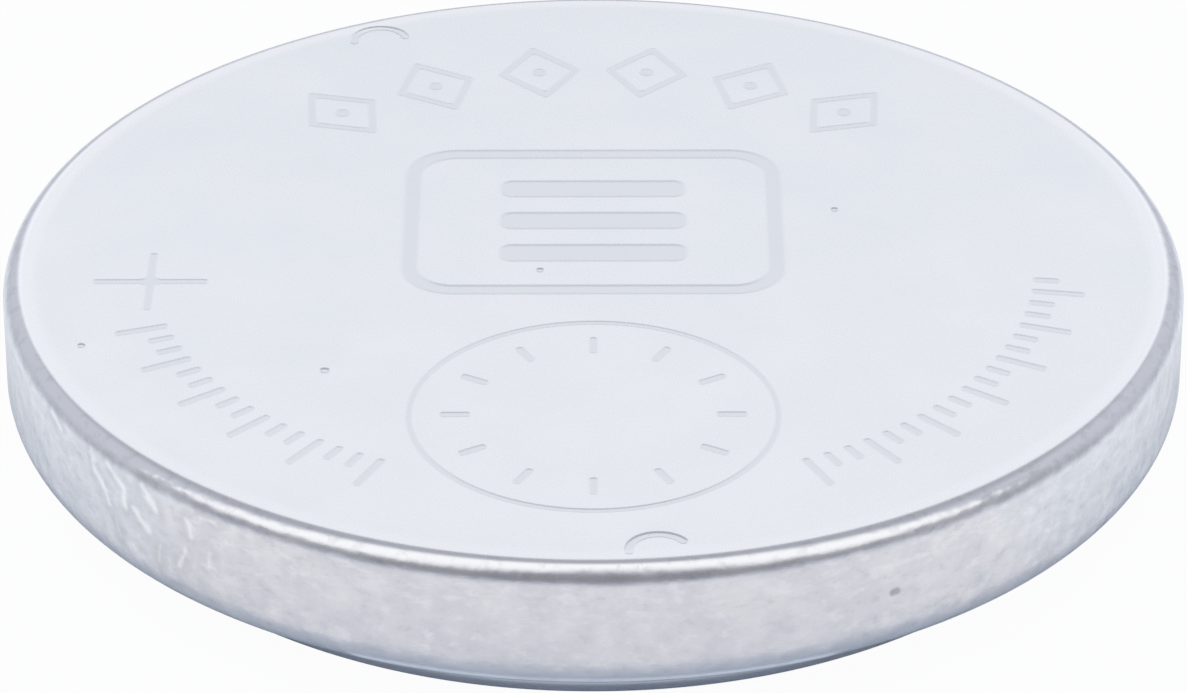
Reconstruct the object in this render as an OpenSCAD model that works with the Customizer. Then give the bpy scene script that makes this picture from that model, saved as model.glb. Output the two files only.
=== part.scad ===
// Lithium coin cell, 20 mm across and 3.2 mm thick, lying with its positive can upward.
// The axis of the cell is Z, and the negative contact face lies in the plane z = 0.
// Every turned or drawn piece is a section in the r-z half plane, revolved about Z.

/* [Cell] */
// Outer diameter of the cell
cell_d = 20; // [16:0.5:30]
// Height over both contact faces
cell_h = 3.2; // [2.9:0.1:6]

/* [Positive can] */
// Sheet thickness of the can
can_t = 0.25; // [0.2:0.01:0.3]
// Inner bend radius between the can's face and its wall
can_bend_r = 0.1; // [0.05:0.01:0.3]
// Inner bend radius of the crimp that turns the wall inward
crimp_bend_r = 0.38; // [0.3:0.01:0.5]
// Height of the crimped lip above the negative contact face
lip_h = 0.83; // [0.75:0.01:0.9]

/* [Negative cap] */
// Sheet thickness of the cap
cap_t = 0.25; // [0.2:0.01:0.3]
// Inner bend radius of the cap's formed corners
cap_bend_r = 0.12; // [0.05:0.01:0.2]
// Width of the shoulder between the cap's contact cup and its skirt
shoulder_w = 0.6; // [0.45:0.01:0.7]

/* [Gasket] */
// Gasket thickness between the can's wall and the cap's skirt
gasket_wall = 0.35; // [0.2:0.01:0.45]
// Gasket thickness between the can's face and the end of the skirt
gasket_floor = 0.35; // [0.2:0.01:0.45]
// Gasket thickness squeezed between the lip and the shoulder
gasket_squeeze = 0.28; // [0.2:0.01:0.35]
// Width of the gasket ring that shows inside the lip
gasket_show_w = 0.25; // [0.15:0.01:0.35]
// How far that ring lies back from the lip
gasket_sunk = 0.1; // [0.05:0.01:0.15]
// Thickness of the gasket's inner lip
gasket_lip_t = 0.35; // [0.2:0.01:0.45]
// Length of skirt that the inner lip covers
gasket_lip_h = 0.6; // [0.3:0.05:0.7]

/* [Active parts] */
// Thickness of the lithium disc
anode_t = 0.62; // [0.4:0.01:0.7]
// Gap round the lithium disc inside the cap
anode_clear = 0.7; // [0.3:0.05:1.5]
// Thickness of the separator
separator_t = 0.15; // [0.08:0.01:0.2]
// Height of the separator's turned rim above its floor
separator_rim_h = 0.5; // [0.2:0.05:0.5]
// Gap between the separator and the cap
separator_clear = 0.15; // [0.1:0.01:0.3]
// Thickness of the cathode's ring
ring_t = 0.15; // [0.1:0.01:0.2]
// Height of the cathode's ring
ring_h = 0.9; // [0.5:0.05:0.9]
// Width of the ring's flange against the can
ring_flange_w = 1; // [0.5:0.1:2]
// Gap between the ring and the separator's rim
ring_clear = 0.1; // [0.05:0.01:0.2]

/* [Stamped face] */
// Depth of the stamped lines
mark_depth = 0.04; // [0.02:0.01:0.1]
// Outer width of the stamped frame
frame_w = 6.5; // [4:0.1:7]
// Outer height of the stamped frame
frame_h = 5.1; // [3.6:0.1:5.5]
// Distance of the frame's centre from the cell's centre
frame_y = 1.32; // [1.2:0.01:1.6]
// Outer corner radius of the frame
frame_corner_r = 0.9; // [0.5:0.1:1.2]
// Width of the frame's broad groove
frame_line = 0.28; // [0.1:0.01:0.4]
// Length of the plain bars inside the frame
bar_w = 3.2; // [1:0.1:4.5]
// Height of a bar
bar_h = 0.56; // [0.3:0.02:0.8]
// Spacing of the bars
bar_pitch = 1.14; // [0.9:0.02:1.4]
// Radius of the stamped circle below the frame
dial_r = 3.05; // [2:0.01:3.1]
// Distance of that circle's centre below the cell's centre
dial_y = 5.22; // [4.9:0.01:5.4]
// Radius at which the circle's ticks start
dial_tick_r = 2; // [1:0.1:2.2]
// Length of the circle's ticks
dial_tick_l = 0.5; // [0.2:0.1:0.6]
// Width of a fine stamped line
fine_line = 0.14; // [0.08:0.01:0.2]
// Distance of the polarity sign from the cell's centre
plus_x = 7.46; // [6:0.01:8]
// Distance of the polarity sign below the cell's centre
plus_y = 0.8; // [0:0.02:1.4]
// Span of the polarity sign
plus_w = 1.94; // [1:0.02:2.2]
// Radius of the arc that carries the row of lozenges
lozenge_arc_r = 6.9; // [6.4:0.1:7.4]
// Height of a lozenge
lozenge_h = 2; // [1.2:0.1:2.2]
// Width of a lozenge
lozenge_w = 1.5; // [1:0.1:1.7]
// Radius of the dot in the middle of a lozenge
lozenge_dot_r = 0.13; // [0.05:0.01:0.2]
// Radius at which the scale's ticks start
tick_r = 7.45; // [6.6:0.05:7.6]
// Length of a long tick
tick_l = 0.9; // [0.4:0.1:1]

/* [Hidden] */
$fn = 144;

cell_r = cell_d / 2;
can_in_r = cell_r - can_t;
can_in_z = cell_h - can_t;
lip_in_z = lip_h + can_t;

skirt_r = can_in_r - gasket_wall;
skirt_in_r = skirt_r - cap_t;
skirt_top_z = can_in_z - gasket_floor;
cup_r = skirt_r - shoulder_w;
cup_in_r = cup_r - cap_t;
shoulder_z = lip_in_z + gasket_squeeze;
shoulder_in_z = shoulder_z + cap_t;
lip_r = cup_r + gasket_show_w;

anode_r = cup_in_r - anode_clear;
separator_z = cap_t + anode_t;
separator_r = cup_in_r - separator_clear;
rim_in_r = separator_r - separator_t;
cathode_z = separator_z + separator_t;
ring_r = rim_in_r - ring_clear;
cathode_r = ring_r - ring_t;
flange_in_r = ring_r - ring_flange_w;

mark_z = cell_h - mark_depth;
lozenge_count = 6;
lozenge_pitch = 16;
tick_pitch = 3;
dial_ticks = 12;
bar_end_r = bar_h * 0.4;
// A section runs a little past the plane that it is cut from
past = 0.5;

// Band of the half plane between two radii and two heights
module band(r1, r2, z1, z2) {
    translate([r1, z1]) square([r2 - r1, z2 - z1]);
}

// Disc section from the axis to r, with its upper or lower outer corner rounded
module disc_section(r, z1, z2, bottom_r, top_r) {
    band(0, r - max(bottom_r, top_r), z1, z2);
    band(0, r - bottom_r, z1, z2 - top_r);
    band(0, r - top_r, z1 + bottom_r, z2);
    band(0, r, z1 + bottom_r, z2 - top_r);
    if (bottom_r > 0) translate([r - bottom_r, z1 + bottom_r]) circle(bottom_r);
    if (top_r > 0) translate([r - top_r, z2 - top_r]) circle(top_r);
}

// Everything inside the can's outer surface
module can_outside() {
    disc_section(cell_r, lip_h, cell_h, crimp_bend_r + can_t, can_bend_r + can_t);
}

// Everything inside the can's inner surface, with its open mouth
module can_inside() {
    disc_section(can_in_r, lip_in_z, can_in_z, crimp_bend_r, can_bend_r);
    band(0, lip_r, lip_h - past, lip_in_z + past);
}

// Fill or relief in the inner corner of a step, a square less a quarter round
module step_corner(r, z, bend) {
    difference() {
        translate([r, z - bend]) square(bend);
        translate([r + bend, z - bend]) circle(bend);
    }
}

// Everything inside the cap's outer surface, a cup with a wider skirt above it
module cap_outside() {
    disc_section(cup_r, 0, shoulder_z + past, cap_bend_r + cap_t, 0);
    disc_section(skirt_r, shoulder_z, skirt_top_z, cap_bend_r + cap_t, 0);
    step_corner(cup_r, shoulder_z, cap_bend_r);
}

// Everything inside the cap's inner surface
module cap_inside() {
    disc_section(cup_in_r, cap_t, shoulder_in_z + past, cap_bend_r, 0);
    disc_section(skirt_in_r, shoulder_in_z, skirt_top_z + past, cap_bend_r, 0);
    step_corner(cup_in_r, shoulder_in_z, cap_bend_r + cap_t);
}

// Rounded rectangle about the origin
module rounded_plate(w, h, r) {
    square([w - 2 * r, h], center = true);
    square([w, h - 2 * r], center = true);
    for (x = [-1, 1], y = [-1, 1]) translate([x * (w / 2 - r), y * (h / 2 - r)]) circle(r);
}

// Stamped frame with three plain bars in it
module frame_mark() {
    in_w = frame_w - 2 * frame_line;
    in_h = frame_h - 2 * frame_line;
    translate([0, frame_y]) {
        difference() {
            rounded_plate(frame_w, frame_h, frame_corner_r);
            rounded_plate(in_w, in_h, frame_corner_r - frame_line);
        }
        for (i = [-1, 0, 1]) translate([0, i * bar_pitch]) rounded_plate(bar_w, bar_h, bar_end_r);
    }
}

// Stamped circle with a plain dial in it
module dial_mark() {
    translate([0, -dial_y]) {
        difference() {
            circle(dial_r);
            circle(dial_r - fine_line);
        }
        for (i = [0 : dial_ticks - 1]) rotate(i * 360 / dial_ticks) {
            translate([dial_tick_r, -fine_line / 2]) square([dial_tick_l, fine_line]);
        }
    }
}

// Polarity sign of the positive face
module plus_mark() {
    translate([-plus_x, -plus_y]) {
        square([plus_w, fine_line], center = true);
        square([fine_line, plus_w], center = true);
    }
}

// One open lozenge with a dot in it, standing on the arc
module lozenge_mark() {
    slim = lozenge_w / lozenge_h;
    wall = fine_line * sqrt(1 + slim * slim);
    difference() {
        polygon([[lozenge_h / 2, 0], [0, lozenge_w / 2], [-lozenge_h / 2, 0], [0, -lozenge_w / 2]]);
        polygon([[lozenge_h / 2 - wall / slim, 0], [0, lozenge_w / 2 - wall],
                 [wall / slim - lozenge_h / 2, 0], [0, wall - lozenge_w / 2]]);
    }
    circle(lozenge_dot_r);
}

// Radial ticks of a plain scale from one angle to another, each third one long
module scale_mark(from, to) {
    count = floor((to - from) / tick_pitch);
    for (i = [0 : count]) rotate(from + i * tick_pitch) {
        translate([tick_r, -fine_line / 2]) square([i % 3 == 0 ? tick_l : tick_l / 2, fine_line]);
    }
}

// All lines stamped into the positive face
module face_marks() {
    frame_mark();
    dial_mark();
    plus_mark();
    for (i = [0 : lozenge_count - 1]) rotate(90 + (i - (lozenge_count - 1) / 2) * lozenge_pitch) {
        translate([lozenge_arc_r, 0]) lozenge_mark();
    }
    scale_mark(198, 243);
    scale_mark(297, 354);
}

// Drawn steel can with its wall crimped inward, and the lines stamped into its face
module positive_can() {
    color([0.84, 0.86, 0.89]) difference() {
        rotate_extrude() difference() {
            can_outside();
            can_inside();
        }
        translate([0, 0, mark_z]) linear_extrude(mark_depth + past) face_marks();
    }
}

// Stepped steel cap that carries the negative contact face
module negative_cap() {
    color([0.78, 0.79, 0.8]) rotate_extrude() difference() {
        cap_outside();
        cap_inside();
        band(0, skirt_in_r, skirt_top_z - past, skirt_top_z + past);
    }
}

// Moulded seal that wraps the cap's skirt and is squeezed under the can's lip
module sealing_gasket() {
    color([0.16, 0.17, 0.19]) rotate_extrude() {
        difference() {
            intersection() {
                can_inside();
                band(skirt_in_r - gasket_lip_t, cell_r, lip_h + gasket_sunk, cell_h);
            }
            cap_outside();
        }
        band(skirt_in_r - gasket_lip_t, skirt_in_r, skirt_top_z - gasket_lip_h, skirt_top_z);
    }
}

// Disc of lithium pressed on the floor of the cap
module lithium_anode() {
    color([0.72, 0.73, 0.76]) translate([0, 0, cap_t]) cylinder(h = anode_t, r = anode_r);
}

// Thin separator that covers the lithium and turns up round the cathode
module separator() {
    color([0.95, 0.95, 0.92]) rotate_extrude() {
        band(0, separator_r, separator_z, cathode_z);
        band(rim_in_r, separator_r, cathode_z, cathode_z + separator_rim_h);
    }
}

// Pressed cathode, rebated for its ring
module cathode_pellet() {
    color([0.15, 0.15, 0.16]) rotate_extrude() {
        band(0, cathode_r, cathode_z, can_in_z - ring_t);
        band(0, flange_in_r, can_in_z - past, can_in_z);
    }
}

// Angled steel ring that holds the cathode and touches the can
module cathode_ring() {
    color([0.7, 0.71, 0.73]) rotate_extrude() {
        band(cathode_r, ring_r, can_in_z - ring_h, can_in_z);
        band(flange_in_r, ring_r, can_in_z - ring_t, can_in_z);
    }
}

positive_can();
negative_cap();
sealing_gasket();
lithium_anode();
separator();
cathode_pellet();
cathode_ring();
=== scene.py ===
"""Lithium coin cell: the finish of every surface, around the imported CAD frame.

Lengths are in millimetres up to the point where a mesh or an object is made, and MM turns them
into metres. Angles on the cell are in degrees from +X, counted towards +Y.
"""
from math import ceil, cos, degrees, exp, hypot, pi, radians, sin, tan, tau

import bpy
from mathutils import Matrix, Vector, noise
from mathutils.geometry import delaunay_2d_cdt


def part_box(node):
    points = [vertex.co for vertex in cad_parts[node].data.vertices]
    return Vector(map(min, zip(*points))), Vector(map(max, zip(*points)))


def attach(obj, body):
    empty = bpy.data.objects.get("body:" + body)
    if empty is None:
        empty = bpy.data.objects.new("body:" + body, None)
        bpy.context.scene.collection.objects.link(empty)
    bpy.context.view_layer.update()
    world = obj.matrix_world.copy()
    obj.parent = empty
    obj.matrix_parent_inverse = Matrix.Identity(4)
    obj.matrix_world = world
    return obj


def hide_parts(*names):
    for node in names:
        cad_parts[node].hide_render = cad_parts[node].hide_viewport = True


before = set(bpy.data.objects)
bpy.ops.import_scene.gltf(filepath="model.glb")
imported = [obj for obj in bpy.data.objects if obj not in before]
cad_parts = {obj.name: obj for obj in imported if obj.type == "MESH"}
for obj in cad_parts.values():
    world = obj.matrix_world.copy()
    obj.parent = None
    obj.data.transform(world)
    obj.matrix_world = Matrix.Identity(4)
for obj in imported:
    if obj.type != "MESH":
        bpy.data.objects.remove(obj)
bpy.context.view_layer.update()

MM = 0.001

# Sizes of the cell, read from the frame
CAN_LOW, CAN_HIGH = ([v / MM for v in corner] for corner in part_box("positive_can"))
_, CAP_HIGH = ([v / MM for v in corner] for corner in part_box("negative_cap"))
GASKET_LOW, GASKET_HIGH = ([v / MM for v in corner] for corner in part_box("sealing_gasket"))
CELL_R = CAN_HIGH[0]
CELL_H = CAN_HIGH[2]
LIP_Z = CAN_LOW[2]
SKIRT_R = CAP_HIGH[0]
SKIRT_TOP = CAP_HIGH[2]
GASKET_R = GASKET_HIGH[0]
GASKET_TOP = GASKET_HIGH[2]
GASKET_FACE = GASKET_LOW[2]

# Sizes of the sheet metal and the seal that no box gives by itself
SHEET = CELL_R - GASKET_R
CAN_BEND = 0.1
CRIMP_BEND = 0.38
CAP_BEND = 0.12
SKIRT_EDGE = 0.03
SHOULDER_W = 0.6
GASKET_SQUEEZE = 0.28
GASKET_SHOW = 0.25
GASKET_LIP_T = 0.35
GASKET_LIP_H = 0.6
GASKET_EDGE = 0.05
GASKET_START = 0.15
SHOULDER_Z = LIP_Z + SHEET + GASKET_SQUEEZE
CUP_R = SKIRT_R - SHOULDER_W
LIP_R = CUP_R + GASKET_SHOW
FLAT_R = CELL_R - CAN_BEND - SHEET

# Fineness of the meshes: points around, degrees of a bend's pieces, longest piece of a straight
AROUND = 1080
AROUND_BELOW = 360
CAN_STEP = 5.0
CAN_INSIDE_STEP = 18.0
CAN_PIECE = 0.09
CAP_STEP = 9.0
CAP_PIECE = 1.2
GASKET_STEP = 12.0

# Sharpest edge that is shaded smooth, and the gap under which two points are one
SMOOTH_ANGLE = 35.0
NEAR = 1e-6

# Camera, solved from the photograph's silhouette and rim lines
CAMERA_ELEVATION = 29.928
CAMERA_ROLL = -0.08
CAMERA_DISTANCE = 102.58
CAMERA_AIM = (-0.007, -3.017)
SENSOR_W = 36.0
LENS = 188.2

# Places of the stamped marks on the face
FRAME_CENTRE_Y = 1.32
FRAME_W = 6.5
FRAME_H = 5.1
FRAME_CORNER = 0.9
FRAME_LINE = 0.28
BAR_W = 3.2
BAR_H = 0.56
BAR_PITCH = 1.14
DIAL_CENTRE = (0.0, -5.22)
DIAL_R = 3.05
DIAL_LINE = 0.1
DIAL_TICK_R = 2.0
DIAL_TICK_L = 0.5
DIAL_TICKS = 12
FINE_LINE = 0.14
PLUS_CENTRE = (-7.46, -0.8)
PLUS_W = 1.94
PLUS_ROUNDING = 0.052
PLUS_HOLLOW = 0.12
LOZENGE_ARC_R = 6.9
LOZENGE_H = 2.0
LOZENGE_W = 1.5
LOZENGE_ROUNDING = 0.07
LOZENGES = 6
LOZENGE_PITCH = 16.0
DOT_R = 0.13
TICK_R = 7.45
TICK_L = 0.9
TICK_PITCH = 3.0
SCALES = ((198.0, 243.0), (297.0, 354.0))

# Rounding of the ends of a bar or a tick, as a share of its width
END_ROUNDING = 0.4

# Marks of handling on the face: crescents as x, y, radius, first and last angle; pricks as x, y, radius
CRESCENTS = ((-3.85, 8.12, 0.47, 15.0, 190.0), (1.02, -9.4, 0.47, 35.0, 185.0))
CRESCENT_HALF_W = 0.07
PRICKS = ((4.15, 1.7, 0.06), (-4.42, -3.79, 0.075), (-8.48, -2.96, 0.06), (-0.9, -0.42, 0.06))

# Stamped depths, and the shoulder of a stamped line: distance outside its edge, share of the depth
LINE_DEPTH = 0.006
FRAME_DEPTH = 0.010
DENT_DEPTH = 0.012
SHOULDER = ((0.06, 0.0), (0.04, 0.06), (0.018, 0.28), (-0.008, 0.62), (-0.032, 0.92), (-0.05, 1.0))

# Widths of the shoulders of the marks, as shares of that one
FRAME_SHOULDER = 1.0
ARC_SHOULDER = 0.62
LINE_SHOULDER = 0.55

# Unevenness of the drawn wall, which ripples most where it is scuffed
WALL_REACH = 0.2
WALL_FADE = 0.75
WALL_SUNK = 0.003
WALL_WAVE = 0.0022
WALL_RIPPLE = 0.0008
SCUFFED_RIPPLE = 0.004
SCUFFED_ANGLE = 221
SCUFFED_SPREAD = 13

# Scuffed spots on the wall, shown as painted highlights with painted shade round them: angle and height of
# one end, angle and height of the other, strength
SCUFFS = (
    (216.1, 2.92, 216.7, 2.57, 0.97), (216.7, 2.57, 218.1, 2.35, 0.98), (218.1, 2.35, 218.8, 2.12, 0.96),
    (218.8, 2.88, 220.0, 2.75, 0.97), (220.0, 2.75, 221.1, 2.59, 0.99), (221.1, 2.59, 221.4, 2.3, 1.0),
    (224.1, 2.88, 224.8, 2.71, 0.97), (224.8, 2.71, 225.8, 2.56, 1.0), (222.9, 2.32, 224.6, 2.09, 0.985),
    (230.1, 2.64, 230.4, 2.38, 0.97), (226.3, 1.92, 226.1, 1.62, 0.93), (229.5, 2.08, 228.9, 1.72, 0.96),
    (232.7, 2.22, 232.4, 1.98, 0.93), (219.9, 1.91, 220.5, 1.6, 0.92), (208.3, 2.93, 210.0, 2.78, 0.97),
    (231.8, 2.82, 233.6, 2.84, 0.93),
)
SCUFF_W = 0.14
SCUFF_SHADE_W = 2.6 * SCUFF_W
# A pit on the wall, sunk in relief and darkened with painted shade; its columns are those of the scuffed
# spots
WALL_PIT = (298.85, 2.03, 299.2, 2.035, 1.0)


# Outlines

def corner_arc(here, before, after, radius):
    """Arc that rounds a corner: its centre, its first and last arm, and half the corner's angle."""
    back = (before - here).normalized()
    ahead = (after - here).normalized()
    half = back.angle(ahead) / 2
    centre = here + (back + ahead).normalized() * (radius / sin(half))
    first = here + back * (radius / tan(half)) - centre
    last = here + ahead * (radius / tan(half)) - centre
    return centre, first, last, half


def bent(corners, step):
    """Points of an open outline through corners (x, y, bend radius), each bend drawn as an arc."""
    points = []
    for i, (x, y, radius) in enumerate(corners):
        if radius <= 0:
            points.append((x, y))
            continue
        before, after = Vector(corners[i - 1][:2]), Vector(corners[i + 1][:2])
        centre, first, last, _ = corner_arc(Vector((x, y)), before, after, radius)
        turn = first.angle_signed(last)
        count = max(2, ceil(abs(degrees(turn)) / step))
        for k in range(count + 1):
            arm = Matrix.Rotation(-turn * k / count, 2) @ first
            points.append((centre.x + arm.x, centre.y + arm.y))
    return points


def rounded_loop(corners, rounding, steps=6, hollow=0.0):
    """Closed loop (x, y, normal x, normal y) through anticlockwise corners, rounded in and out."""
    loop = []
    count = len(corners)
    for i in range(count):
        here, before, after = (Vector(corners[j % count]) for j in (i, i - 1, i + 1))
        back, ahead = before - here, after - here
        convex = 1.0 if ahead.x * back.y - ahead.y * back.x > 0 else -1.0
        radius = rounding if convex > 0 else hollow
        centre, first, _, half = corner_arc(here, before, after, radius)
        turn = convex * (pi - 2 * half)
        for k in range(steps + 1):
            angle = turn * k / steps
            arm = Vector((first.x * cos(angle) - first.y * sin(angle),
                          first.x * sin(angle) + first.y * cos(angle)))
            point = centre + arm
            normal = arm * (convex / radius)
            loop.append((point.x, point.y, normal.x, normal.y))
    return loop


def circle_loop(cx, cy, radius, count):
    """Closed circular loop with its outward normals."""
    return [(cx + radius * cos(tau * k / count), cy + radius * sin(tau * k / count),
             cos(tau * k / count), sin(tau * k / count)) for k in range(count)]


def arc_points(cx, cy, radius, first, last, steps, outward=1.0):
    """Points (x, y, normal x, normal y) of an arc between two angles in degrees."""
    points = []
    for k in range(steps + 1):
        angle = radians(first + (last - first) * k / steps)
        c, s = cos(angle), sin(angle)
        points.append((cx + radius * c, cy + radius * s, c * outward, s * outward))
    return points


def arc_stroke_loop(cx, cy, radius, first, last, half_width):
    """Closed loop round a stroke along an arc, with round ends."""
    def round_end(angle, start):
        x, y = cx + radius * cos(radians(angle)), cy + radius * sin(radians(angle))
        return arc_points(x, y, half_width, start, start + 180, steps=8)[1:-1]

    outer = arc_points(cx, cy, radius + half_width, first, last, steps=16)
    inner = arc_points(cx, cy, radius - half_width, last, first, steps=16, outward=-1.0)
    return outer + round_end(last, last) + inner + round_end(first, first + 180)


def box_corners(cx, cy, w, h):
    """Corners of an upright rectangle, anticlockwise."""
    return [(cx + sx * w / 2, cy + sy * h / 2) for sx, sy in ((-1, -1), (1, -1), (1, 1), (-1, 1))]


def turned(corners, angle):
    """Corners turned about the cell's centre by an angle in degrees."""
    c, s = cos(radians(angle)), sin(radians(angle))
    return [(c * x - s * y, s * x + c * y) for x, y in corners]


def moved(corners, dx, dy):
    """Corners moved by dx and dy."""
    return [(x + dx, y + dy) for x, y in corners]


# Stamped marks: each is (loop, side, depth), with side 1 where the recess lies inside the loop

def frame_marks():
    """Rounded frame with plain bars in it."""
    outer = box_corners(0, FRAME_CENTRE_Y, FRAME_W, FRAME_H)
    inner = box_corners(0, FRAME_CENTRE_Y, FRAME_W - 2 * FRAME_LINE, FRAME_H - 2 * FRAME_LINE)
    marks = [(rounded_loop(outer, FRAME_CORNER, steps=24), 1, FRAME_DEPTH),
             (rounded_loop(inner, FRAME_CORNER - FRAME_LINE, steps=20), -1, FRAME_DEPTH)]
    for i in (-1, 0, 1):
        bar = box_corners(0, FRAME_CENTRE_Y + i * BAR_PITCH, BAR_W, BAR_H)
        marks.append((rounded_loop(bar, BAR_H * END_ROUNDING, steps=10), 1, FRAME_DEPTH))
    return marks


def tick_mark(corners):
    """One tick with rounded ends."""
    return rounded_loop(corners, FINE_LINE * END_ROUNDING), 1, LINE_DEPTH


def dial_marks():
    """Fine circle with plain ticks in it."""
    cx, cy = DIAL_CENTRE
    marks = [(circle_loop(cx, cy, DIAL_R, count=180), 1, LINE_DEPTH),
             (circle_loop(cx, cy, DIAL_R - DIAL_LINE, count=180), -1, LINE_DEPTH)]
    for i in range(DIAL_TICKS):
        tick = box_corners(DIAL_TICK_R + DIAL_TICK_L / 2, 0, DIAL_TICK_L, FINE_LINE)
        marks.append(tick_mark(moved(turned(tick, i * 360 / DIAL_TICKS), cx, cy)))
    return marks


def plus_marks():
    """Polarity sign of the positive face."""
    a, b = PLUS_W / 2, FINE_LINE / 2
    corners = [(-a, -b), (-b, -b), (-b, -a), (b, -a), (b, -b), (a, -b),
               (a, b), (b, b), (b, a), (-b, a), (-b, b), (-a, b)]
    loop = rounded_loop(moved(corners, *PLUS_CENTRE), PLUS_ROUNDING, steps=4, hollow=PLUS_HOLLOW)
    return [(loop, 1, LINE_DEPTH)]


def lozenge_marks():
    """Row of open lozenges along the arc, each with a dot in it."""
    marks = []
    slim = LOZENGE_W / LOZENGE_H
    wall = FINE_LINE * (1 + slim * slim) ** 0.5
    outlines = ((1, LOZENGE_H / 2, LOZENGE_W / 2),
                (-1, LOZENGE_H / 2 - wall / slim, LOZENGE_W / 2 - wall))
    for i in range(LOZENGES):
        angle = 90 + (i - (LOZENGES - 1) / 2) * LOZENGE_PITCH
        for side, long, wide in outlines:
            corners = moved([(long, 0), (0, wide), (-long, 0), (0, -wide)], LOZENGE_ARC_R, 0)
            marks.append((rounded_loop(turned(corners, angle), LOZENGE_ROUNDING), side, LINE_DEPTH))
        cx, cy = turned([(LOZENGE_ARC_R, 0)], angle)[0]
        marks.append((circle_loop(cx, cy, DOT_R, count=24), 1, LINE_DEPTH))
    return marks


def scale_marks():
    """Radial ticks of the plain scales, each third one long."""
    marks = []
    for first, last in SCALES:
        for i in range(int((last - first) / TICK_PITCH) + 1):
            length = TICK_L if i % 3 == 0 else TICK_L / 2
            tick = box_corners(TICK_R + length / 2, 0, length, FINE_LINE)
            marks.append(tick_mark(turned(tick, first + i * TICK_PITCH)))
    return marks


def handling_marks():
    """Two thin crescents near the rim and a few pin pricks, left by handling."""
    marks = [(arc_stroke_loop(*crescent, CRESCENT_HALF_W), 1, DENT_DEPTH) for crescent in CRESCENTS]
    return marks + [(circle_loop(*prick, count=18), 1, DENT_DEPTH) for prick in PRICKS]


def face_marks():
    """Every mark on the positive face, each with the width of its shoulder."""
    groups = ((frame_marks(), FRAME_SHOULDER),
              (dial_marks() + plus_marks() + handling_marks(), LINE_SHOULDER),
              (lozenge_marks() + scale_marks(), ARC_SHOULDER))
    return [(mark, width) for marks, width in groups for mark in marks]


# Meshes

def new_object(name, verts, faces):
    """Object from points in millimetres, smooth except at sharp bends."""
    mesh = bpy.data.meshes.new(name)
    mesh.from_pydata([(x * MM, y * MM, z * MM) for x, y, z in verts], [], faces)
    mesh.validate()
    mesh.shade_smooth()
    mesh.set_sharp_from_angle(angle=radians(SMOOTH_ANGLE))
    mesh.update()
    obj = bpy.data.objects.new(name, mesh)
    bpy.context.scene.collection.objects.link(obj)
    return obj


def ring_points(r, z, count):
    """Points of one ring about the axis."""
    return [(x, y, z) for x, y, _, _ in circle_loop(0, 0, r, count)]


def strip_faces(first, second, count):
    """Quads between two rings that start at the given vertex numbers."""
    return [(first + k, second + k, second + (k + 1) % count, first + (k + 1) % count)
            for k in range(count)]


def revolved(name, section, count):
    """Closed revolved solid whose section starts and ends on the axis or closes on itself."""
    verts, faces, rings = [], [], []
    for r, z in section:
        rings.append((len(verts), r < NEAR))
        verts.extend([(0.0, 0.0, z)] if r < NEAR else ring_points(r, z, count))
    for (a, a_pole), (b, b_pole) in zip(rings, rings[1:]):
        if a_pole:
            faces.extend((a, b + k, b + (k + 1) % count) for k in range(count))
        elif b_pole:
            faces.extend((a + k, b, a + (k + 1) % count) for k in range(count))
        else:
            faces.extend(strip_faces(a, b, count))
    if not rings[0][1]:
        faces.extend(strip_faces(rings[-1][0], rings[0][0], count))
    return new_object(name, verts, faces)


def spread(section, longest):
    """The section with points added on stretches longer than the given length."""
    out = [section[0]]
    for (r1, z1), (r2, z2) in zip(section, section[1:]):
        pieces = max(1, ceil(hypot(r2 - r1, z2 - z1) / longest))
        for k in range(1, pieces + 1):
            out.append((r1 + (r2 - r1) * k / pieces, z1 + (z2 - z1) * k / pieces))
    return out


def wall_noise(along, z, around, upward, lean, layer):
    """Noise on the unrolled wall, with its steps in a millimetre around and upward."""
    return noise.noise(Vector((along * around + z * lean, z * upward, layer)))


def wall_dent(angle, z):
    """How far the drawn wall lies inside the true cylinder, in millimetres."""
    along = radians(angle) * CELL_R
    middle = (CELL_H + LIP_Z) / 2
    fade = exp(-((z - middle) / WALL_FADE) ** 4)
    scuffed = exp(-((angle - SCUFFED_ANGLE) / SCUFFED_SPREAD) ** 2)
    ripple = wall_noise(along, z, around=2.1, upward=0.7, lean=0.5, layer=4.0)
    wave = wall_noise(along, z, around=0.5, upward=0.8, lean=0.0, layer=9.0)
    return fade * (WALL_SUNK + WALL_WAVE * wave + (WALL_RIPPLE + SCUFFED_RIPPLE * scuffed) * ripple)


def stamped_face(marks, radius, count):
    """Points and triangles of the flat face with its marks, and each point's share of the depth."""
    points, edges, depths, shares = [], [], [], []

    def add_loop(loop, depth, share):
        first = len(points)
        points.extend(Vector(p) for p in loop)
        depths.extend([depth] * len(loop))
        shares.extend([share] * len(loop))
        edges.extend((first + k, first + (k + 1) % len(loop)) for k in range(len(loop)))

    add_loop([(x, y) for x, y, _, _ in circle_loop(0, 0, radius, count)], 0.0, 0.0)
    for (loop, side, depth), width in marks:
        for offset, share in SHOULDER:
            step = offset * side * width
            add_loop([(x + nx * step, y + ny * step) for x, y, nx, ny in loop], depth * share, share)

    # Output type 0 is triangles over the whole outline. A point that they add is level with the face
    spots, _, triangles, origins = delaunay_2d_cdt(points, edges, [], 0, NEAR)[:4]
    sources = [origin[0] if origin else 0 for origin in origins]
    verts = [(spot.x, spot.y, CELL_H - depths[source]) for spot, source in zip(spots, sources)]
    return verts, [tuple(t) for t in triangles], [shares[source] for source in sources]


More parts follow.
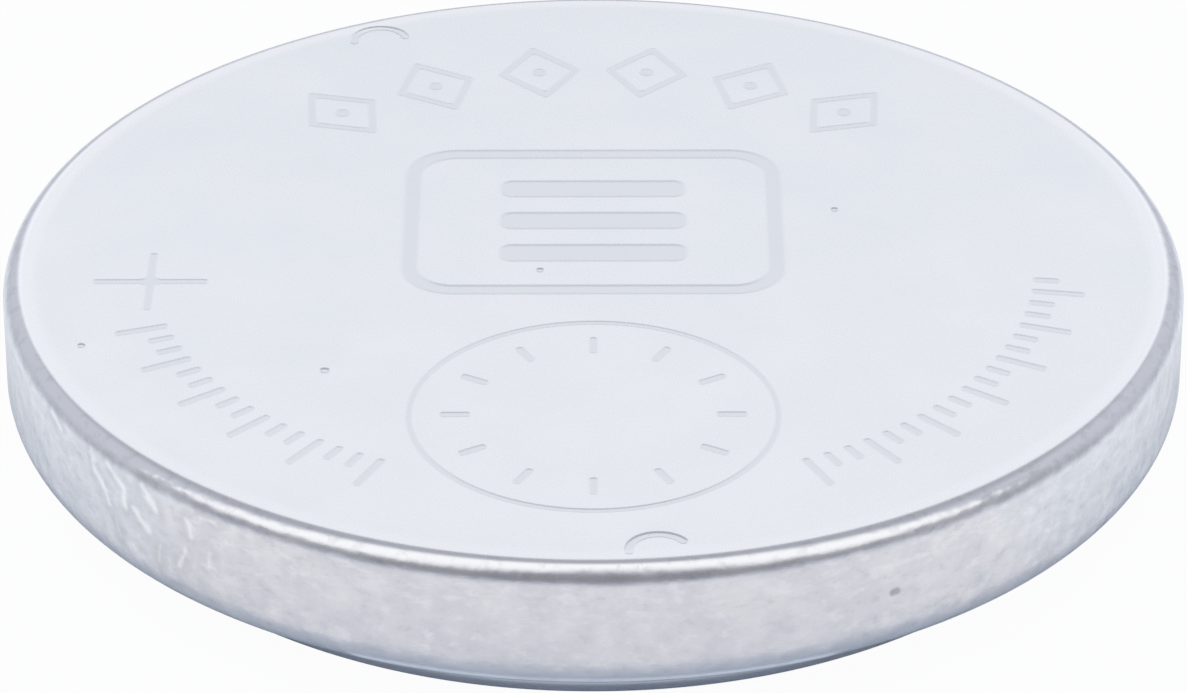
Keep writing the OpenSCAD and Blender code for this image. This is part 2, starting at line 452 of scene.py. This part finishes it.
def can_section():
    """Outlines of the can: outside from its flat face down to the lip, and inside back up."""
    in_r = CELL_R - SHEET
    outer = bent([
        (0, CELL_H, 0), (CELL_R, CELL_H, CAN_BEND + SHEET),
        (CELL_R, LIP_Z, CRIMP_BEND + SHEET), (LIP_R, LIP_Z, 0),
    ], CAN_STEP)
    inner = bent([
        (LIP_R, LIP_Z, 0), (LIP_R, LIP_Z + SHEET, 0), (in_r, LIP_Z + SHEET, CRIMP_BEND),
        (in_r, CELL_H - SHEET, CAN_BEND), (0, CELL_H - SHEET, 0),
    ], CAN_INSIDE_STEP)
    return spread(outer[1:], CAN_PIECE), inner[1:-1]


def build_can():
    """Drawn and crimped can with its stamped face."""
    verts, faces, share_of = stamped_face(face_marks(), FLAT_R, AROUND)
    outer, inner = can_section()
    rings = [0]
    for r, z in outer[1:]:
        rings.append(len(verts))
        for k in range(AROUND):
            angle = 360 * k / AROUND
            reach = r - wall_dent(angle, z) if r > CELL_R - WALL_REACH else r
            verts.append((reach * cos(radians(angle)), reach * sin(radians(angle)), z))
    for r, z in inner:
        rings.append(len(verts))
        verts.extend(ring_points(r, z, AROUND))
    for a, b in zip(rings, rings[1:]):
        faces.extend(strip_faces(a, b, AROUND))
    pole = len(verts)
    verts.append((0.0, 0.0, CELL_H - SHEET))
    faces.extend((rings[-1] + k, pole, rings[-1] + (k + 1) % AROUND) for k in range(AROUND))
    can = new_object("can_shell", verts, faces)
    stamp = can.data.attributes.new("stamp", "FLOAT", "POINT")
    stamp.data.foreach_set("value", share_of + [0.0] * (len(can.data.vertices) - len(share_of)))
    return can


def build_cap():
    """Stepped cap with its contact cup, shoulder and skirt."""
    skirt_in_r, cup_in_r = SKIRT_R - SHEET, CUP_R - SHEET
    outer_bend = CAP_BEND + SHEET
    section = bent([
        (0, 0, 0), (CUP_R, 0, outer_bend),
        (CUP_R, SHOULDER_Z, CAP_BEND), (SKIRT_R, SHOULDER_Z, outer_bend),
        (SKIRT_R, SKIRT_TOP, SKIRT_EDGE), (skirt_in_r, SKIRT_TOP, SKIRT_EDGE),
        (skirt_in_r, SHOULDER_Z + SHEET, CAP_BEND), (cup_in_r, SHOULDER_Z + SHEET, outer_bend),
        (cup_in_r, SHEET, CAP_BEND), (0, SHEET, 0),
    ], CAP_STEP)
    return revolved("cap_shell", spread(section, CAP_PIECE), AROUND_BELOW)


def build_gasket():
    """Seal between can and cap, whose closed section starts on its straight side at the cup."""
    skirt_in_r = SKIRT_R - SHEET
    lip_in_r = skirt_in_r - GASKET_LIP_T
    lip_z = SKIRT_TOP - GASKET_LIP_H
    start = (CUP_R, GASKET_FACE + GASKET_START, 0)
    section = bent([
        start, (CUP_R, GASKET_FACE, GASKET_EDGE), (LIP_R, GASKET_FACE, GASKET_EDGE),
        (LIP_R, LIP_Z + SHEET, 0), (GASKET_R, LIP_Z + SHEET, CRIMP_BEND),
        (GASKET_R, GASKET_TOP, CAN_BEND), (lip_in_r, GASKET_TOP, GASKET_EDGE),
        (lip_in_r, lip_z, GASKET_EDGE), (skirt_in_r, lip_z, 0),
        (skirt_in_r, SKIRT_TOP, 0), (SKIRT_R, SKIRT_TOP, 0),
        (SKIRT_R, SHOULDER_Z, CAP_BEND + SHEET), (CUP_R, SHOULDER_Z, CAP_BEND), start,
    ], GASKET_STEP)[:-1]
    return revolved("gasket_ring", section, AROUND_BELOW)


# Shader nodes

class Nodes:
    """Short calls for the nodes of one tree."""

    def __init__(self, tree):
        self.tree = tree

    def put(self, socket, value):
        """Sets an input to a plain value, or links it to another node's output."""
        if isinstance(value, bpy.types.NodeSocket):
            self.tree.links.new(value, socket)
        else:
            socket.default_value = value

    def add(self, kind, inputs=(), **settings):
        """A node with its settings and inputs, which are named or numbered."""
        node = self.tree.nodes.new(kind)
        for key, value in settings.items():
            setattr(node, key, value)
        for key, value in dict(inputs).items():
            self.put(node.inputs[key], value)
        return node

    def math(self, operation, a, b=0.0, c=0.0, clamp=False):
        """Output of a Math node."""
        node = self.add("ShaderNodeMath", {0: a, 1: b, 2: c}, operation=operation, use_clamp=clamp)
        return node.outputs[0]

    def vector_math(self, operation, inputs):
        """Outputs of a Vector Math node."""
        return self.add("ShaderNodeVectorMath", inputs, operation=operation).outputs

    def product(self, first, *others):
        """Values multiplied together."""
        for other in others:
            first = self.math("MULTIPLY", first, other)
        return first

    def scaled(self, value, factor, start):
        """A value times a factor, added to a start."""
        return self.math("MULTIPLY_ADD", value, factor, start)

    def ramp(self, value, low, high, to_low=0.0, to_high=1.0):
        """A smooth step of a value from one range to another."""
        return self.add("ShaderNodeMapRange", {"Value": value, "From Min": low, "From Max": high,
                                                "To Min": to_low, "To Max": to_high},
                        interpolation_type="SMOOTHSTEP").outputs["Result"]

    def blend(self, share, a, b):
        """A value between two others."""
        return self.scaled(share, self.math("SUBTRACT", b, a), a)

    def mix(self, share, a, b):
        """A colour between two others. A Mix node's colours are inputs 6 and 7 and output 2."""
        node = self.add("ShaderNodeMix", data_type="RGBA")
        self.put(node.inputs[0], share)
        self.put(node.inputs[6], a)
        self.put(node.inputs[7], b)
        return node.outputs[2]

    def layer(self, base, mask, colour, strength):
        """A colour laid over another one where a mask is high."""
        return self.mix(self.product(mask, strength), base, colour)


class Shader(Nodes):
    """A material and its nodes."""

    def __init__(self, name):
        self.material = bpy.data.materials.new(name)
        self.material.use_nodes = True
        super().__init__(self.material.node_tree)
        self.bsdf = self.tree.nodes["Principled BSDF"]

    def place(self):
        """Position in millimetres as a vector and as x, y, z outputs."""
        coords = self.add("ShaderNodeTexCoord").outputs["Object"]
        here = self.vector_math("MULTIPLY", {0: coords, 1: (1 / MM,) * 3})[0]
        parts = self.add("ShaderNodeSeparateXYZ", {0: here}).outputs
        return here, parts[0], parts[1], parts[2]

    def radius(self, x, y):
        """Distance from the cell's axis."""
        squares = self.math("ADD", self.product(x, x), self.product(y, y))
        return self.math("SQRT", squares)

    def strokes(self, unrolled, places):
        """Nearness to short strokes on the unrolled wall.

        On a stroke it is the stroke's strength, and with each millimetre away from it 1 less. The
        strokes lie past 180 degrees, where the unrolled wall counts back from a full turn.
        """
        def spot(angle, z):
            return Vector((radians(angle - 360) * CELL_R, z, 0))

        found = 0.0
        for angle_a, z_a, angle_b, z_b, strength in places:
            start = spot(angle_a, z_a)
            run = spot(angle_b, z_b) - start
            rest = self.vector_math("SUBTRACT", {0: unrolled, 1: start})[0]
            share = self.vector_math("DOT_PRODUCT", {0: rest, 1: run / run.length_squared})["Value"]
            share = self.math("MULTIPLY", share, 1.0, clamp=True)
            glint_ring = self.vector_math("SCALE", {0: run, "Scale": share})[0]
            gap = self.vector_math("DISTANCE", {0: rest, 1: glint_ring})["Value"]
            found = self.math("MAXIMUM", found, self.math("SUBTRACT", strength, gap))
        return found

    def noise(self, vector, scale, detail, rough=0.5):
        """A noise between about 0.2 and 0.8."""
        return self.add("ShaderNodeTexNoise", {"Vector": vector, "Scale": scale, "Detail": detail,
                                                "Roughness": rough}).outputs[0]

    def vector(self, x, y, z):
        """A vector from three values."""
        return self.add("ShaderNodeCombineXYZ", {0: x, 1: y, 2: z}).outputs[0]

    def bump(self, height, depth, below=None):
        """Bump from a height, of which 1 stands for a depth in millimetres."""
        inputs = {"Height": height, "Distance": depth * MM, "Strength": 1.0}
        if below is not None:
            inputs["Normal"] = below
        return self.add("ShaderNodeBump", inputs).outputs[0]

    def surface(self, colour, rough, normal, metallic=0.0):
        """The material, once its surface has these inputs."""
        inputs = {"Base Color": colour, "Metallic": metallic, "Roughness": rough, "Normal": normal}
        for name, value in inputs.items():
            self.put(self.bsdf.inputs[name], value)
        return self.material


# Colours of the can, from its face down the wall
FACE_DIM = (0.792, 0.82, 0.875, 1)
FACE_PALE = (0.842, 0.86, 0.905, 1)
# Grey of the face's grain, and painted shade in the stamped recesses
GRAIN_AND_RECESS_SHADE_GREY = (0.72, 0.745, 0.80, 1)
# Painted highlight: pale ring just inside the edge of the flat face
EDGE_HIGHLIGHT = (0.86, 0.878, 0.922, 1)
# Painted shade of fine dents in the bend
BEND_DENT_SHADE = (0.74, 0.752, 0.79, 1)
WALL_DIM = (0.735, 0.74, 0.78, 1)
WALL_PALE = (0.845, 0.837, 0.863, 1)
FROST_PALE = (0.92, 0.92, 0.945, 1)
FROST_DIM = (0.62, 0.625, 0.67, 1)
FLECK_PALE = (0.93, 0.935, 0.955, 1)
# Painted shade round the scuffed spots, and painted highlight on them
SCUFF_SHADE_GREY = (0.6, 0.6, 0.635, 1)
SCUFF_HIGHLIGHT_WHITE = (1.0, 1.0, 1.0, 1)
# Painted shade in the wall's pit
PIT_SHADE_GREY = (0.4, 0.4, 0.43, 1)

# Colours of the cap and the felt
CAP_DIM = (0.86, 0.87, 0.895, 1)
CAP_PALE = (0.91, 0.915, 0.935, 1)
CAP_GREY = (0.72, 0.725, 0.745, 1)
FELT_DIM = (0.72, 0.71, 0.67, 1)
FELT_PALE = (0.93, 0.925, 0.9, 1)

# Roughness of the can where the sheet is drawn over an edge, and depths of its relief
DRAWN_ROUGH = 0.17
GRAIN_DEPTH = 0.00003
FROST_DEPTH = 0.008
BEAD_DEPTH = 0.03
PIT_DEPTH = 0.007


# Materials

class CanShader(Shader):
    """The can's material, with the patterns that its colour, roughness and relief share."""

    def __init__(self):
        super().__init__("can_steel_look")
        self.here, self.x, self.y, self.z = self.place()
        self.reach = self.radius(self.x, self.y)
        self.side = self.ramp(self.reach, CELL_R - 0.12, CELL_R - 0.02)
        self.bend = self.ramp(self.reach, FLAT_R, FLAT_R + 0.12)
        self.angle = self.math("ARCTAN2", self.y, self.x)
        wobble = self.product(self.noise(self.here, scale=3.2, detail=2.0), 0.16)
        self.unrolled = self.vector(self.scaled(self.angle, CELL_R, wobble), self.z, 0.0)
        self.grain = self.noise(self.here, scale=28.0, detail=2.0)
        self.blotch = self.noise(self.here, scale=1.6, detail=5.0, rough=0.6)
        squeezed = self.vector(self.x, self.y, self.product(self.z, 1.5))
        self.frost = self.noise(squeezed, scale=3.2, detail=6.0, rough=0.66)
        self.stamped = self.add("ShaderNodeAttribute", attribute_name="stamp").outputs["Fac"]
        self.pit = self.ramp(self.strokes(self.unrolled, (WALL_PIT,)), 0.9, 0.98)

    def face_colour(self):
        """Even and bluish with random patches, paler towards the front as painted light, with painted
        shade in the stamped lines, a painted highlight ring at the edge and painted dent shade mottling
        the bend.
        """
        cloud = self.noise(self.here, scale=0.55, detail=4.0)
        # Random patches from the cloud, plus painted light: the face grows paler towards the front (-y).
        patches_and_painted_light = self.scaled(self.y, -0.03, cloud)
        colour = self.mix(self.ramp(patches_and_painted_light, 0.1, 0.9), FACE_DIM, FACE_PALE)
        colour = self.layer(colour, self.ramp(self.grain, 0.35, 0.65), GRAIN_AND_RECESS_SHADE_GREY, strength=0.01)
        # Painted shade: the stamped lines, crescents and pricks are greyer the deeper they are sunk.
        colour = self.layer(colour, self.stamped, GRAIN_AND_RECESS_SHADE_GREY, strength=0.62)
        # Painted highlight: a paler ring just inside the edge of the flat face.
        colour = self.mix(self.ramp(self.reach, FLAT_R - 0.32, FLAT_R - 0.08), colour, EDGE_HIGHLIGHT)
        # Painted shade: grey mottles in the bend stand in for fine dents breaking up its highlight.
        mottled = self.product(self.bend, self.ramp(self.frost, 0.5, 0.62))
        return self.layer(colour, mottled, BEND_DENT_SHADE, strength=0.6)

    def scuff_highlight_and_shade(self):
        """Masks of the painted highlight on the scuffed spots and of the painted shade round them."""
        near = self.strokes(self.unrolled, SCUFFS)
        scuff_highlight = self.ramp(near, 1.0 - SCUFF_W, 1.0)
        shade = self.ramp(near, 1.0 - SCUFF_SHADE_W, 1.0 - SCUFF_W)
        return (self.product(scuff_highlight, self.ramp(self.frost, 0.3, 0.5, 0.5, 1.0)),
                self.product(shade, self.ramp(self.blotch, 0.38, 0.52)))

    def wall_colour(self):
        """Frosted and mottled, with flecks near the bend, painted highlights on scuffed spots with painted
        shade round them, and a pit sunk in relief and darkened with painted shade.
        """
        run = self.vector(self.product(self.angle, CELL_R), self.product(self.z, 2.4), 0.0)
        streak = self.noise(run, scale=1.9, detail=4.0, rough=0.6)
        fleck = self.product(self.ramp(streak, 0.5, 0.66), self.ramp(self.z, 2.0, 2.6))
        scuff_highlight, shade = self.scuff_highlight_and_shade()
        colour = self.mix(self.ramp(self.blotch, 0.3, 0.7), WALL_DIM, WALL_PALE)
        colour = self.layer(colour, self.ramp(self.frost, 0.5, 0.7), FROST_PALE, strength=0.6)
        colour = self.layer(colour, self.ramp(self.frost, 0.46, 0.3), FROST_DIM, strength=0.5)
        colour = self.layer(colour, fleck, FLECK_PALE, strength=0.5)
        # Painted shade round the scuffed spots, then painted highlights on them.
        colour = self.layer(colour, shade, SCUFF_SHADE_GREY, strength=0.45)
        colour = self.layer(colour, scuff_highlight, SCUFF_HIGHLIGHT_WHITE, strength=0.9)
        # Painted shade: the pit is darkened in its colour as well as sunk by the bump.
        return self.layer(colour, self.pit, PIT_SHADE_GREY, strength=0.8)

    def roughness(self):
        """Satin face and mottled wall, smoother in the bend and on the crimp."""
        face = self.blend(self.bend, self.scaled(self.grain, 0.04, 0.25), DRAWN_ROUGH)
        crimp = self.ramp(self.z, 1.5, 1.2)
        wall = self.blend(crimp, self.scaled(self.blotch, 0.16, 0.22), DRAWN_ROUGH)
        return self.scaled(self.stamped, 0.02, self.blend(self.side, face, wall))

    def relief(self):
        """Fine grain, then the frost of the wall, the dents of the bend and the pit."""
        dimple = self.math("SUBTRACT", self.noise(self.here, scale=2.4, detail=1.5), 0.5)
        off_middle = self.ramp(self.math("ABSOLUTE", self.x), 0.2 * CELL_R, 0.6 * CELL_R, 0.6, 1.0)
        beads = self.product(dimple, self.ramp(self.reach, CELL_R - 0.2, CELL_R - 0.07), off_middle)
        frosting = self.product(self.math("SUBTRACT", self.frost, 0.5), self.side)
        normal = self.bump(self.grain, GRAIN_DEPTH)
        normal = self.bump(frosting, FROST_DEPTH, normal)
        normal = self.bump(beads, BEAD_DEPTH, normal)
        return self.bump(self.math("SUBTRACT", 1.0, self.pit), PIT_DEPTH, normal)


def can_material():
    """Satin nickel-plated sheet: even and bluish on the face, mottled and scuffed on the wall, with
    painted highlights and painted shade on both.
    """
    s = CanShader()
    colour = s.mix(s.side, s.face_colour(), s.wall_colour())
    return s.surface(colour, s.roughness(), s.relief(), metallic=1.0)


def cap_material():
    """Fine satin sheet with faint rings from turning."""
    s = Shader("cap_steel_look")
    here, x, y, z = s.place()
    rings = s.noise(s.vector(s.radius(x, y), 0.0, z), scale=9.0, detail=3.0, rough=0.6)
    cloud = s.noise(here, scale=0.6, detail=4.0)
    grain = s.noise(here, scale=26.0, detail=2.0)
    tone = s.mix(s.ramp(cloud, 0.3, 0.7), CAP_DIM, CAP_PALE)
    colour = s.layer(tone, grain, CAP_GREY, strength=0.2)
    relief = s.bump(rings, 0.0012, s.bump(grain, 0.0006))
    return s.surface(colour, s.scaled(rings, 0.14, 0.25), relief, metallic=1.0)


def grained_material(name, dark, light, rough, scale, depth, metallic=0.0):
    """Surface with a grain, for the seal, the active parts and the cathode's ring."""
    s = Shader(name)
    here = s.place()[0]
    cloud = s.noise(here, scale=scale * 0.12, detail=4.0)
    grain = s.noise(here, scale=scale, detail=3.0, rough=0.6)
    colour = s.mix(s.product(cloud, grain), dark, light)
    return s.surface(colour, s.scaled(grain, 0.2, rough - 0.1), s.bump(grain, depth), metallic)


def gasket_material():
    """Dark moulded plastic."""
    return grained_material("gasket_look", (0.02, 0.022, 0.027, 1), (0.06, 0.064, 0.075, 1),
                            rough=0.45, scale=18.0, depth=0.004)


def lithium_material():
    """Soft dull foil."""
    return grained_material("lithium_look", (0.42, 0.42, 0.44, 1), (0.72, 0.72, 0.75, 1),
                            rough=0.5, scale=12.0, depth=0.004, metallic=1.0)


def cathode_material():
    """Black pressed powder."""
    return grained_material("cathode_look", (0.012, 0.012, 0.013, 1), (0.07, 0.07, 0.075, 1),
                            rough=0.85, scale=30.0, depth=0.01)


def ring_material():
    """Bright stamped steel."""
    return grained_material("ring_steel_look", (0.5, 0.505, 0.52, 1), (0.74, 0.745, 0.76, 1),
                            rough=0.3, scale=24.0, depth=0.001, metallic=1.0)


def felt_material():
    """Non-woven felt of crossing fibres."""
    s = Shader("separator_felt_look")
    _, x, y, z = s.place()
    ways = []
    for along, across in ((2.0, 14.0), (14.0, 2.0)):
        stretched = s.vector(s.product(x, along), s.product(y, across), z)
        ways.append(s.noise(stretched, scale=1.4, detail=4.0, rough=0.65))
    fibre = s.math("MAXIMUM", *ways)
    colour = s.mix(fibre, FELT_DIM, FELT_PALE)
    return s.surface(colour, 0.9, s.bump(fibre, 0.02))


def dress(obj, material):
    """Gives an object one material."""
    obj.data.materials.clear()
    obj.data.materials.append(material)


# Stage

WHITE = (1.0, 1.0, 1.0, 1)

# Floor: half its width, its height, and the share of plain white that the camera sees of it
FLOOR_HALF = 600.0
FLOOR_Z = -0.002
FLOOR_SHOWN = 0.96

# Colours of the floor's paint, and of the floor as the cell mirrors it
FLOOR_PAINT = (0.78, 0.84, 0.93, 1)
MIRRORED_AHEAD = (0.97, 0.96, 0.97, 1)
MIRRORED_FLANK = (1.06, 1.05, 1.045, 1)
MIRRORED_SIDE = (1.02, 1.06, 1.09, 1)
MIRRORED_NEAR = (0.80, 0.89, 1.02, 1)

# Colours of the studio
ROOM_TINT = (0.97, 0.99, 1.07, 1)
BACKDROP_TINT = (0.99, 0.995, 1.0, 1)
PANEL_TINT = (1.0, 0.995, 0.975, 1)

# Levels of the studio: panel, backdrop and what its rim adds, room and what its gap takes, front
PANEL_LEVEL = 1.08
BACKDROP_LEVEL = 1.0
BACKDROP_RIM = 0.12
ROOM_LEVEL = 0.63
ROOM_GAP = 0.19
FRONT_LEVELS = (0.29, 0.41)


def floor_colour(s, away, sideways, flank):
    """Colour of the floor as the cell mirrors it: warm at the flanks, bluish at the sides and near."""
    tint = s.mix(flank, MIRRORED_AHEAD, MIRRORED_FLANK)
    tint = s.mix(s.ramp(sideways, 0.75, 0.95), tint, MIRRORED_SIDE)
    # Painted reflection: close to the cell the mirrored floor is shaded and bluish.
    shaded = s.product(s.ramp(away, CELL_R + 1.8, CELL_R), s.ramp(flank, 0.0, 0.7, 1.0, 0.3))
    return s.mix(shaded, tint, MIRRORED_NEAR)


def floor_glow(s, away, flank):
    """Brightness of the floor as the cell mirrors it: a painted shadow, dark close to the cell, and a
    faint painted glint ring under the crimp off its flanks.
    """
    # Painted shadow: the mirrored floor is dark close to the cell and brightens a little way out.
    outside = s.ramp(s.scaled(flank, 0.12, away), CELL_R - 0.1, CELL_R + 3.3, 0.06, 0.76)
    beside_cup = s.ramp(away, CUP_R + 0.15, CUP_R + 0.5)
    far = s.ramp(away, 13.8, 30.0, 1.0, 0.14)
    off_flank = s.ramp(flank, 0.0, 0.03, 0.46, 0.0)
    # Painted light: a faint bright ring under the crimp, seen only in reflections.
    glint_ring = s.product(s.ramp(away, 8.9, 9.15), s.ramp(away, 9.95, 9.6), off_flank)
    return s.math("MAXIMUM", s.product(outside, beside_cup, far), glint_ring)


def build_floor():
    """Plain pale floor just under the cell."""
    corners = [(x, y, FLOOR_Z) for x, y in box_corners(0, 0, 2 * FLOOR_HALF, 2 * FLOOR_HALF)]
    floor = new_object("floor", corners, [(0, 1, 2, 3)])
    s = Shader("floor_look")
    s.tree.nodes.remove(s.bsdf)
    paint = s.add("ShaderNodeBsdfDiffuse", {"Color": FLOOR_PAINT}).outputs[0]
    rays = s.add("ShaderNodeLightPath").outputs
    x, y = s.place()[1:3]
    away = s.radius(x, y)
    sideways = s.math("DIVIDE", s.math("ABSOLUTE", x), away)
    flank = s.ramp(sideways, 0.4, 0.9)
    tint = s.mix(rays["Is Camera Ray"], floor_colour(s, away, sideways, flank), WHITE)
    # Plain white to the camera; to glossy rays a glow that paints the floor's reflection, with its painted
    # shadow and glint.
    white = s.add("ShaderNodeEmission", {"Color": tint, "Strength": 1.0}).outputs[0]
    mirrored = s.product(rays["Is Glossy Ray"], floor_glow(s, away, flank))
    share = s.scaled(rays["Is Camera Ray"], FLOOR_SHOWN, mirrored)
    both = s.add("ShaderNodeMixShader", {0: share, 1: paint, 2: white}).outputs[0]
    s.put(s.tree.nodes["Material Output"].inputs["Surface"], both)
    dress(floor, s.material)


def studio_panel(w, depth, spread_out, to_right, up):
    """Share of the panel overhead, with soft and bowed edges."""
    bowed = w.scaled(w.math("MINIMUM", spread_out, 0.55), 0.3, depth)
    far_edge = w.ramp(w.scaled(to_right, 0.11, bowed), 0.47, 0.1)
    slanted = w.scaled(w.math("MINIMUM", spread_out, 0.7), 0.85, depth)
    near_edge = w.ramp(slanted, -1.05, -0.02)
    return w.product(far_edge, near_edge, w.ramp(spread_out, 2.2, 1.2), w.ramp(up, 0.0, 0.12))


def studio_room(w, right, side, back, up, spread_out):
    """Level of the room: dimmer in the gap behind the panel, far to the right, and in front."""
    gap = w.product(w.ramp(spread_out, 0.85, 0.35), w.ramp(back, 0.0, 0.2))
    level = w.product(w.scaled(gap, -ROOM_GAP, ROOM_LEVEL), w.ramp(up, 0.0, 0.3, 0.92, 1.0))
    far_right = w.ramp(right, 0.5, 0.85, 1.0, 0.75)
    level = w.product(level, w.blend(w.ramp(back, 0.3, 0.0), 1.0, far_right))
    return w.blend(w.ramp(back, 0.2, -0.3), level, w.ramp(side, 0.4, 0.85, *FRONT_LEVELS))


def build_world():
    """Soft studio: a bright panel overhead and a bright backdrop behind, in a dimmer room."""
    world = bpy.data.worlds.new("studio")
    bpy.context.scene.world = world
    world.use_nodes = True
    world.node_tree.nodes.clear()
    w = Nodes(world.node_tree)
    way = w.add("ShaderNodeTexCoord").outputs["Generated"]
    right, back, up = w.add("ShaderNodeSeparateXYZ", {0: way}).outputs
    side = w.math("ABSOLUTE", right)
    above = w.math("MAXIMUM", up, 0.02)
    behind = w.math("MAXIMUM", back, 0.02)

    # Places on a ceiling plane and on a back plane, as multiples of their distance
    depth, spread_out = w.math("DIVIDE", back, above), w.math("DIVIDE", side, above)
    rise, width = w.math("DIVIDE", up, behind), w.math("DIVIDE", side, behind)
    to_right = w.math("MAXIMUM", w.math("DIVIDE", right, above), 0.0)

    panel = studio_panel(w, depth, spread_out, to_right, up)
    backdrop = w.product(w.ramp(rise, 1.04, 0.8), w.ramp(rise, 0.15, 0.35), w.ramp(width, 0.48, 0.24))
    rim = w.math("MAXIMUM", w.ramp(rise, 0.54, 0.78), w.ramp(width, 0.13, 0.2))
    level = studio_room(w, right, side, back, up, spread_out)
    level = w.blend(backdrop, level, w.scaled(rim, BACKDROP_RIM, BACKDROP_LEVEL))
    level = w.blend(panel, level, PANEL_LEVEL)

    seen = w.add("ShaderNodeLightPath").outputs["Is Camera Ray"]
    tint = w.mix(backdrop, ROOM_TINT, BACKDROP_TINT)
    tint = w.mix(panel, tint, PANEL_TINT)
    lit = w.add("ShaderNodeBackground", {"Color": tint, "Strength": level}).outputs[0]
    white = w.add("ShaderNodeBackground", {"Color": WHITE, "Strength": 1.0}).outputs[0]
    both = w.add("ShaderNodeMixShader", {0: seen, 1: lit, 2: white}).outputs[0]
    w.put(w.add("ShaderNodeOutputWorld").inputs["Surface"], both)


def build_camera():
    """Camera at the photograph's viewing angle."""
    data = bpy.data.cameras.new("camera")
    data.sensor_width = SENSOR_W
    data.lens = LENS
    data.clip_start = 1 * MM
    camera = bpy.data.objects.new("camera", data)
    bpy.context.scene.collection.objects.link(camera)
    tilt = radians(CAMERA_ELEVATION)
    aim = Vector((*CAMERA_AIM, CELL_H))
    spot = aim + Vector((0, -cos(tilt), sin(tilt))) * CAMERA_DISTANCE
    camera.matrix_world = (Matrix.Translation(spot * MM) @ Matrix.Rotation(pi / 2 - tilt, 4, "X")
                           @ Matrix.Rotation(radians(CAMERA_ROLL), 4, "Z"))
    bpy.context.scene.camera = camera


# Cell

def build_cell():
    """Every piece of the cell with its finish."""
    outside = ((build_can(), can_material(), "positive_can", "can_steel"),
               (build_cap(), cap_material(), "negative_cap", "cap_steel"),
               (build_gasket(), gasket_material(), "sealing_gasket", "gasket_plastic"))
    for piece, material, node, slot in outside:
        dress(piece, material)
        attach(piece, "root")
        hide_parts(node)
    inside = (("lithium_anode", lithium_material()), ("separator", felt_material()),
              ("cathode_pellet", cathode_material()), ("cathode_ring", ring_material()))
    for node, material in inside:
        dress(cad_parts[node], material)


build_camera()
build_world()
build_floor()
build_cell()
bpy.context.scene.view_settings.view_transform = "Standard"
